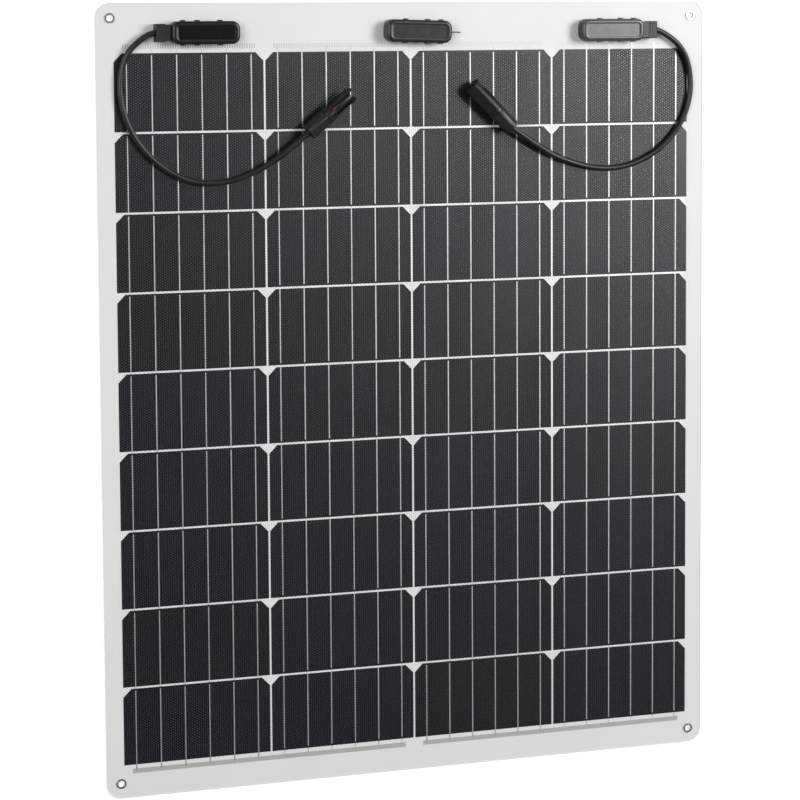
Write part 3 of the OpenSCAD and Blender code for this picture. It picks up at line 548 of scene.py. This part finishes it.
def finish_cad_nodes():
    """Materials and softened edges for the CAD nodes that stay in view."""
    board = white_sheet("board_fibreglass", (0.78, 0.78, 0.77, 1), 0.55, weave=2.5 * MM)
    white = white_sheet("white_layer", (0.78, 0.78, 0.775, 1), 0.5)
    cells = cell_surface()
    solder = metal("ribbon_solder", (0.66, 0.66, 0.67, 1), 0.42, 0.8)
    foil = metal("foil_solder", (0.8, 0.8, 0.81, 1), 0.35)
    nickel = metal("eyelet_nickel", (0.5, 0.49, 0.48, 1), 0.22)
    brass = metal("terminal_brass", (0.72, 0.55, 0.3, 1), 0.3)
    tin = metal("contact_tin", (0.75, 0.75, 0.76, 1), 0.28)
    top_bus = hatched("bus_under_white", grey(0.74), grey(0.36), 2.6 * MM, fades=True)
    bottom_bus = hatched("bus_grey", grey(0.46), grey(0.36), 2.0 * MM)
    black_rubber = rubber("gasket_rubber", grey(0.012))
    finishes = {
        "backing_board": board, "rear_encapsulant": white, "eyelets": nickel,
        "box_pads": rubber("adhesive_silicone", grey(0.05)), "box_gaskets": black_rubber,
        "left_clamp_seal": black_rubber, "right_clamp_seal": black_rubber,
        "left_plug_seal": black_rubber, "right_plug_seal": black_rubber,
        "left_terminal": brass, "centre_terminals": brass, "right_terminal": brass,
        "bypass_diodes": moulded("diode_epoxy", grey(0.015), 0.5),
        "left_plug_contact": tin, "right_plug_contact": tin,
        "left_plug_ring": rubber("ring_silicone", (0.1, 0.016, 0.028, 1), 0.4),
        "centre_tail": rubber("tail_sleeve", grey(0.012)),
        "left_box_base": moulded("left_box_plastic", grey(0.007, 0.04), 0.36, 1.4),
        "centre_box_base": moulded("centre_box_plastic", grey(0.016, 0.04), 0.36),
        "right_box_base": moulded("right_box_plastic", grey(0.02, 0.04), 0.36),
    }
    for index in "1234":
        finishes["cell_string_" + index] = cells
        finishes["ribbons_" + index] = solder
    for name in ("top_bus_left", "top_bus_middle", "top_bus_right"):
        finishes[name] = top_bus
    for name in ("bottom_bus_left", "bottom_bus_right"):
        finishes[name] = bottom_bus
    for name in ("lead_left", "lead_centre", "lead_right", "bypass_foil_left", "bypass_foil_right"):
        finishes[name] = foil
    finishes["left_clamp_cap"] = finishes["left_box_base"]
    finishes["right_clamp_cap"] = finishes["right_box_base"]
    shell = moulded("plug_shell", grey(0.009, 0.02), 0.33)
    for name in ("left_plug_housing", "left_latch_upper", "left_latch_lower", "right_plug_housing"):
        finishes[name] = shell
    nut = moulded("plug_nut", grey(0.012, 0.02), 0.38)
    finishes["left_plug_nut"] = nut
    finishes["right_plug_nut"] = nut
    for name, material in finishes.items():
        paint(NODES[name], material)
    small_edged = (
        "left_box_base", "centre_box_base", "right_box_base", "left_clamp_cap", "right_clamp_cap",
        "left_latch_upper", "left_latch_lower",
    )
    for name in small_edged:
        soften(NODES[name], 0.3 * MM)
    for name in ("left_plug_housing", "right_plug_housing", "left_plug_nut", "right_plug_nut"):
        soften(NODES[name], 0.5 * MM, 3)
    soften(NODES["eyelets"], 0.12 * MM)


def make_clear_face():
    """The clear layer and the film as one clear plate over the ribbons, on a thin white edge."""
    under_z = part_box("ribbons_1")[1].z + RIBBON_COVER
    white_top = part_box("rear_encapsulant")[1].z
    face = sheet_curve("clear_face", under_z, FILM_TOP)
    paint(face, clear_film())
    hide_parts("front_film", "front_encapsulant")
    edge = sheet_curve("sheet_edge", white_top + LAYER_GAP, under_z - LAYER_GAP, EDGE_W)
    paint(edge, NODES["rear_encapsulant"].data.materials[0])


def make_boxes():
    """The three lids, each with its cord's side, its turn and the colours of its rim and panel, the right
    lid's colours being painted light.
    """
    looks = {
        "left": (-1, 0.0, grey(0.008, 0.04), 1.4, grey(0.004, 0.3), 1.25),
        "centre": (0, CENTRE_BOX_TURN, grey(0.018, 0.06), 1.45, grey(0.018, 0.12), 1.4),
        # Painted light: the right lid is the same black plastic as the others, but its rim and, lighter
        # still, its panel get much lighter greys, standing in for the key light from the right on its top.
        "right": (1, 0.0, grey(0.05, 0.03), 1.58, grey(0.09, 0.03), 1.58),
    }
    for side, (cord_side, turn, rim, rim_ior, panel, panel_ior) in looks.items():
        rim_look = moulded(side + "_lid_rim", rim, 0.3, rim_ior)
        panel_look = moulded(side + "_lid_panel", panel, 0.26, panel_ior, 0.25 * MM, 0.01 * MM)
        make_lid(side, cord_side, turn, rim_look, panel_look)


def make_cords():
    jacket = rubber("cord_jacket", grey(0.009), 0.32)
    make_cord("left_cord_jacket", "left", -1, LEFT_ROUTE, LEFT_HEADING, jacket)
    make_cord("right_cord_jacket", "right", 1, RIGHT_ROUTE, RIGHT_HEADING, jacket)


# ---- Stage ----

WORLD_LIGHT = 0.16
KEY_PLACE, KEY_AIM, KEY_SIZE, KEY_POWER = (2.4, 0.95, 2.9), (0, 0.1, 0), 1.7, 102
FILL_PLACE, FILL_AIM, FILL_SIZE, FILL_POWER = (-2.5, 0.8, 3.2), (0, 0, 0), 2.5, 88
FLOOR_HALF = 20.0
FLOOR_DROP = 0.2 * MM
CAMERA_PLACE = (-1.1125, 0.3785, 2.8808)
CAMERA_YAW = math.radians(-20.892)
CAMERA_PITCH = math.radians(-5.642)
CAMERA_ROLL = math.radians(-0.352)
LENS = 134.18
LENS_SHIFT_Y = -0.1
SENSOR_W = 36


def make_floor():
    mesh = bpy.data.meshes.new("floor")
    corners = [(x * FLOOR_HALF, y * FLOOR_HALF, 0) for x, y in ((-1, -1), (1, -1), (1, 1), (-1, 1))]
    mesh.from_pydata(corners, [], [(0, 1, 2, 3)])
    floor = new_object("floor", mesh)
    floor.location.z = -FLOOR_DROP
    floor.data.materials.append(floor_surface())


def area_light(name, place, aim, size, power):
    data = bpy.data.lights.new(name, "AREA")
    data.shape = "DISK"
    data.size = size
    data.energy = power
    light = new_object(name, data)
    light.location = place
    light.rotation_euler = (Vector(aim) - Vector(place)).to_track_quat("-Z", "Y").to_euler()


def make_lights():
    world = bpy.data.worlds.new("studio")
    world.use_nodes = True
    background = world.node_tree.nodes["Background"]
    background.inputs[0].default_value = (1, 1, 1, 1)
    background.inputs[1].default_value = WORLD_LIGHT
    bpy.context.scene.world = world
    area_light("key", KEY_PLACE, KEY_AIM, KEY_SIZE, KEY_POWER)
    area_light("fill", FILL_PLACE, FILL_AIM, FILL_SIZE, FILL_POWER)
    bpy.context.scene.view_settings.view_transform = "Standard"
    bpy.context.scene.view_settings.look = "None"


def make_camera():
    """Above the sheet and to its left, looking down at it."""
    data = bpy.data.cameras.new("camera")
    camera = new_object("camera", data)
    data.sensor_width = SENSOR_W
    data.lens = LENS
    data.shift_y = LENS_SHIFT_Y
    data.clip_end = 100
    camera.location = CAMERA_PLACE
    turn = Matrix.Rotation(CAMERA_YAW, 4, "Y") @ Matrix.Rotation(CAMERA_PITCH, 4, "X")
    camera.rotation_euler = (turn @ Matrix.Rotation(CAMERA_ROLL, 4, "Z")).to_euler()
    bpy.context.scene.camera = camera


finish_cad_nodes()
make_clear_face()
make_boxes()
make_cords()
make_floor()
make_lights()
make_camera()
